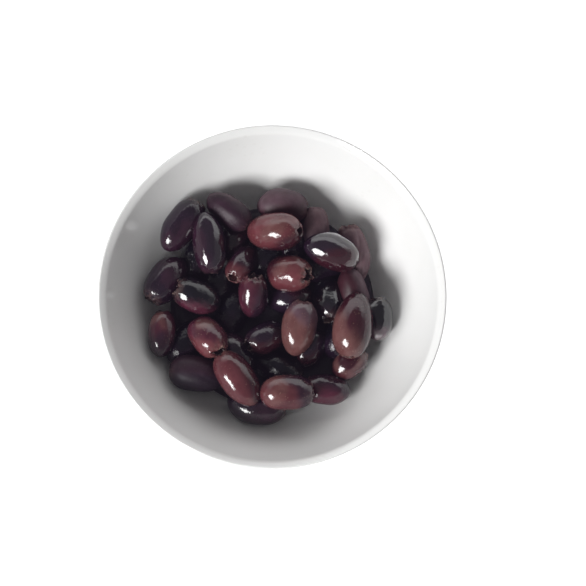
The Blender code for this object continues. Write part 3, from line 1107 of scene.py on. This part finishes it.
@dataclass(frozen=True)
class SkinPainter:
    """Works out the colour of an olive's skin at each point, with painted shade on its underside and in its
    pit hole, and painted glints on its torn lip.

    Pairs are the values at which a change starts and ends. A share is how far a colour goes
    over to another, and a light is how much a noise brightens or darkens it.
    """

    side_blend: float = 0.28
    patch_pull: float = 0.3
    grain_pull: float = 0.1
    brown_range: tuple[float, float] = (0.0, 0.5)
    brown_share: float = 0.8
    # Painted shade on the underside: the upward facing over which it fades in, and how far it darkens.
    painted_underside_range: tuple[float, float] = (0.65, -0.35)
    painted_underside_shade: float = 0.3
    patch_light: float = 0.22
    grain_light: float = 0.12
    ragged_range: tuple[float, float] = (0.15, 0.75)
    ragged_level: float = 0.55
    ragged_grain: float = 0.7
    ragged_share: float = 0.7
    flesh_share: float = 0.6
    # Pale flesh with painted glints on the torn lip.
    flesh_glint_range: tuple[float, float] = (-0.1, 0.5)
    flesh_glint_patch: float = 0.5
    flesh_glint_share: float = 0.8
    # Painted shade in the pit hole: how far its wall and floor go over to the dark tone.
    pit_share: float = 0.85
    pit_torn: float = 0.2
    darkest: float = 0.002

    def colours(self, look: Look, measures: dict[str, np.ndarray], turn: np.ndarray,
                seed: int) -> tuple[np.ndarray, np.ndarray]:
        """Works out an olive's colour at each point.

        Args:
            look: The olive's skin.
            measures: The points' measures, from shape.
            turn: The olive's turn, as a 3 by 3 matrix.
            seed: A shift for the noise.

        Returns:
            The colours, and how torn each point is.
        """
        unit = measures["unit"]
        facing = unit @ turn.T
        side = math.radians(look.side)
        toward = facing[:, 0] * math.cos(side) + facing[:, 1] * math.sin(side)
        patch = PATCHES.over(unit, seed)
        grain = GRAIN.over(unit, seed)
        toward = toward + self.patch_pull * patch + self.grain_pull * grain
        share = smoothstep(look.reach - self.side_blend, look.reach + self.side_blend, toward)
        main = np.array(look.main.value)
        second = np.array(look.second.value)
        colour = main + share[:, None] * (second - main)
        if look.kind is Kind.RUSSET:
            brown = self.brown_share * smoothstep(*self.brown_range, BROWNS.over(unit, seed)) * (1 - share)
            colour += brown[:, None] * (np.array(Tone.CHESTNUT.value) - colour)
        # Painted shade: the skin is darkened more the further it turns from facing up, standing in for the
        # shade under and between the olives.
        low = smoothstep(*self.painted_underside_range, facing[:, 2])
        light = 1 + self.patch_light * patch + self.grain_light * grain
        colour *= (light * (1 - self.painted_underside_shade * low))[:, None]
        rough = smoothstep(*self.ragged_range, self.ragged_level + self.ragged_grain * grain)
        ragged = measures["edge"] * rough * look.tear
        flesh = np.array(Tone.FLESH.value) * self.flesh_share + main * (1 - self.flesh_share)
        colour += (self.ragged_share * ragged * (1 - measures["inside"]))[:, None] * (flesh - colour)
        # Pale flesh with painted glints: the torn lip is speckled with a pale bright colour that stands in
        # for glints of light on its flaps.
        pale = measures["lip"] * smoothstep(*self.flesh_glint_range, grain + self.flesh_glint_patch * patch) * look.tear
        colour += (self.flesh_glint_share * pale)[:, None] * (np.array(Tone.LIP_FLESH_AND_GLINT.value) - colour)
        # Painted shade: the pit hole's wall and floor are darkened towards a dark brown.
        colour += (self.pit_share * measures["inside"])[:, None] * (np.array(Tone.PIT_SHADE.value) - colour)
        torn = np.clip(ragged + self.pit_torn * measures["inside"], 0, 1)
        return np.maximum(colour, self.darkest), torn


@dataclass
class Heap:
    """The olives over a plain core of brine and pulp."""

    seat: Seat
    core_points: int = 24
    core_steps: int = 96
    core_drop: float = 0.6 * MM
    core_round: float = 5 * MM
    sunken_steps: int = 48
    sunken_points: int = 32
    materials: dict[Kind, bpy.types.Material] = field(default_factory=dict)

    def dress(self, effects: Effects) -> None:
        """Makes the skins' materials.

        Args:
            effects: The shared node groups.
        """
        self.materials = {kind: skin.material(effects) for kind, skin in SKINS.items()}

    def core(self, effects: Effects) -> bpy.types.Object:
        """Spins the core under the olives.

        Args:
            effects: The shared node groups.

        Returns:
            The core.
        """
        seat = self.seat
        edge = seat.core_radius - self.core_round
        top = [(r, float(seat.core_top(r)) - self.core_drop
                - self.core_round * (max(r - edge, 0) / self.core_round) ** 2)
               for r in np.linspace(0, seat.core_radius, self.core_points)]
        bottom_radius = seat.bowl.hollow_radius - 2 * seat.clearance
        edge_angle = math.asin(seat.core_radius / bottom_radius)
        shape = bmesh.new()
        spun(shape, top + arc(seat.bowl.centre, bottom_radius, edge_angle, 0, self.core_points),
             self.core_steps)
        return to_object("heap_core", shape, DARK_BRINE.material(effects))

    def clear_of_bowl(self, points: np.ndarray) -> np.ndarray:
        """Presses in whatever comes nearer than the clearance to the bowl.

        Args:
            points: The points, one to a row.

        Returns:
            The pressed points.
        """
        gap, way = self.seat.bowl.wall_gap(points)
        return points - way * np.maximum(self.seat.clearance - gap, 0)[:, None]

    def build(self, effects: Effects) -> list[bpy.types.Object]:
        """Makes the core and one piece for each kind of olive, in the place of the heap's solid.

        Args:
            effects: The shared node groups.

        Returns:
            The pieces, the core first.
        """
        self.dress(effects)
        rows = TOP_OLIVES + OUTER_OLIVES + SUNKEN_OLIVES
        middles, axes = self.seat.settle([olive for olive, _ in rows])
        shown = len(TOP_OLIVES) + len(OUTER_OLIVES)
        fine = OliveMaker(self.seat.growth)
        coarse = OliveMaker(self.seat.growth, steps=self.sunken_steps, skin_points=self.sunken_points)
        painter = SkinPainter()
        kinds = {kind: (bmesh.new(), [], []) for kind in Kind}
        for index, ((olive, look), middle, axis) in enumerate(zip(rows, middles, axes)):
            maker = fine if index < shown else coarse
            shape, measures = maker.shape(olive, look, index + 1)
            turn = Vector(axis).to_track_quat("Z", "Y").to_matrix()
            place = Matrix.Translation(Vector(middle)) @ turn.to_4x4()
            bmesh.ops.transform(shape, matrix=place, verts=shape.verts)
            points = self.clear_of_bowl(np.array([v.co for v in shape.verts]))
            for vertex, point in zip(shape.verts, points):
                vertex.co = point
            colours, torn = painter.colours(look, measures, np.array(turn), index + 1)
            whole, all_colours, all_torn = kinds[look.kind]
            single = bpy.data.meshes.new("olive")
            shape.to_mesh(single)
            shape.free()
            whole.from_mesh(single)
            bpy.data.meshes.remove(single)
            all_colours.append(colours)
            all_torn.append(torn)
        made = [self.core(effects)]
        for kind, (whole, all_colours, all_torn) in kinds.items():
            piece = to_object(f"olives_{kind.value}", whole, self.materials[kind])
            colours = np.concatenate(all_colours)
            colours = np.concatenate([colours, np.ones((len(colours), 1))], axis=1)
            skin = piece.data.attributes.new("skin", "FLOAT_COLOR", "POINT")
            skin.data.foreach_set("color", colours.astype(np.float32).ravel())
            torn = piece.data.attributes.new("torn", "FLOAT", "POINT")
            torn.data.foreach_set("value", np.concatenate(all_torn).astype(np.float32))
            made.append(piece)
        for piece in made:
            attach(piece, BODY)
            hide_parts("olives")
        return made


@dataclass
class Studio:
    """A plain pale floor, one large soft light and the camera.

    lens is in millimetres. wall_way is the way in plan to the middle of the room's pale wall,
    which fades in over wall_turn, cosines from that way, and out over wall_edge, sines above level.
    The floor goes from floor_near to floor_far over floor_pool, distances from the dish.
    """

    seat: Seat
    lens: float = 83.0
    aim_east: float = 9.1 * MM
    aim_up: float = 0.15 * MM
    light_way: tuple[float, float, float] = (-0.60, -0.56, 0.57)
    light_distance: float = 1.0
    light_size: tuple[float, float] = (0.50, 0.40)
    light_power: float = 12.2
    room: float = 0.13
    wall: float = 1.35
    side_wall: float = 0.1
    wall_way: tuple[float, float] = (0.15, 0.99)
    wall_turn: tuple[float, float] = (0.2, 0.75)
    wall_edge: tuple[float, float] = (0.61, 0.66)
    floor_half: float = 4.0
    floor_drop: float = 0.1 * MM
    floor_roughness: float = 0.9
    floor_specular: float = 0.1
    floor_glow: float = 1.6
    floor_near: float = 0.62
    floor_far: float = 0.28
    floor_pool: tuple[float, float] = (0.2, 0.7)
    backdrop: float = 0.5
    veil: tuple[float, float, float] = (0.006, 0.0048, 0.0078)

    def camera(self) -> None:
        """Puts the camera where the photograph was taken from."""
        elevation = self.seat.eye_elevation
        back = Vector((0.0, -math.cos(elevation), math.sin(elevation)))
        up = Vector((0.0, math.sin(elevation), math.cos(elevation)))
        rim = Vector((0.0, 0.0, self.seat.bowl.height))
        data = bpy.data.cameras.new("camera")
        data.lens = self.lens
        made = bpy.data.objects.new("camera", data)
        bpy.context.scene.collection.objects.link(made)
        made.location = rim + back * self.seat.eye_distance
        target = rim + Vector((self.aim_east, 0.0, 0.0)) + up * self.aim_up
        ahead = (target - made.location).normalized()
        right = ahead.cross(Vector((0.0, 1.0, 0.0))).normalized()
        turn = Matrix((right, right.cross(ahead), -ahead)).transposed()
        made.rotation_euler = turn.to_euler()
        bpy.context.scene.camera = made

    def light(self) -> None:
        """Hangs the soft light over the person's left side."""
        data = bpy.data.lights.new("soft_light", "AREA")
        data.shape = "RECTANGLE"
        data.size, data.size_y = self.light_size
        data.energy = self.light_power
        made = bpy.data.objects.new("soft_light", data)
        bpy.context.scene.collection.objects.link(made)
        way = Vector(self.light_way).normalized()
        made.location = Vector((0.0, 0.0, self.seat.heap_level)) + way * self.light_distance
        made.rotation_euler = (-way).to_track_quat("-Z", "Y").to_euler()

    def surroundings(self) -> None:
        """A dim room with a pale wall behind the dish, which looks plain grey to the camera."""
        world = bpy.data.worlds.new("room")
        bpy.context.scene.world = world
        world.use_nodes = True
        bench = Bench(world.node_tree)
        background = world.node_tree.nodes["Background"]
        way = bench.add("SeparateXYZ")
        bench.join(bench.add("TexCoord").outputs["Generated"], way.inputs[0])
        low = bench.ramp(way.outputs["Z"], *self.wall_edge, 1.0, 0.0)
        east, north = self.wall_way
        behind = bench.sum("ADD", bench.sum("MULTIPLY", way.outputs["X"], east),
                           bench.sum("MULTIPLY", way.outputs["Y"], north))
        wall = bench.sum("MULTIPLY", low, bench.ramp(behind, *self.wall_turn, self.side_wall, self.wall))
        room = bench.sum("ADD", wall, self.room)
        path = bench.add("LightPath")
        backdrop = bench.sum("MULTIPLY", path.outputs["Is Camera Ray"], self.backdrop)
        seen = bench.sum("MAXIMUM", backdrop, room)
        bench.join(seen, background.inputs["Strength"])
        background.inputs["Color"].default_value = (1.0, 1.0, 1.0, 1.0)

    def floor(self) -> bpy.types.Object:
        """Lays the pale floor, which looks white round the dish without lighting it from below.

        Returns:
            The floor.
        """
        shape = bmesh.new()
        bmesh.ops.create_grid(shape, x_segments=1, y_segments=1, size=self.floor_half)
        bmesh.ops.translate(shape, vec=(0.0, 0.0, -self.floor_drop), verts=shape.verts)
        pale = bpy.data.materials.new("pale_floor")
        pale.use_nodes = True
        shader = pale.node_tree.nodes["Principled BSDF"]
        shader.inputs["Roughness"].default_value = self.floor_roughness
        shader.inputs["Specular IOR Level"].default_value = self.floor_specular
        shader.inputs["Emission Strength"].default_value = self.floor_glow
        bench = Bench(pale.node_tree)
        away = bench.add("VectorMath", operation="LENGTH")
        bench.join(bench.add("TexCoord").outputs["Object"], away.inputs[0])
        shade = bench.ramp(away.outputs["Value"], *self.floor_pool, self.floor_near, self.floor_far)
        grey = bench.add("CombineColor")
        for channel in grey.inputs:
            bench.join(shade, channel)
        bench.join(grey.outputs[0], shader.inputs["Base Color"])
        glow = bench.add("Mix", data_type="RGBA")
        bench.join(bench.add("LightPath").outputs["Is Camera Ray"], glow.inputs[0])
        glow.inputs[6].default_value = (0.0, 0.0, 0.0, 1.0)
        bench.join(grey.outputs[0], glow.inputs[7])
        bench.join(glow.outputs[2], shader.inputs["Emission Color"])
        made = to_object("floor", shape, pale)
        return made

    def exposure(self) -> None:
        """Sets a plain view, with the faint haze that a bright room lays over the darkest places."""
        view = bpy.context.scene.view_settings
        view.view_transform = "Standard"
        view.use_curve_mapping = True
        view.curve_mapping.black_level = [-haze for haze in self.veil]
        view.curve_mapping.update()

    def build(self) -> None:
        """Sets up the camera, the light, the room, the floor and the exposure."""
        self.camera()
        self.light()
        self.surroundings()
        self.floor()
        self.exposure()


def main() -> None:
    """Builds the dish, the olives and the studio in order."""
    logging.basicConfig(level=logging.INFO, format="%(message)s")
    effects = Effects()
    bowl = Bowl()
    seat = Seat(bowl)
    Studio(seat).build()
    bowl.build(effects)
    Heap(seat).build(effects)
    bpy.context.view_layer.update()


if __name__ == "__main__":
    main()
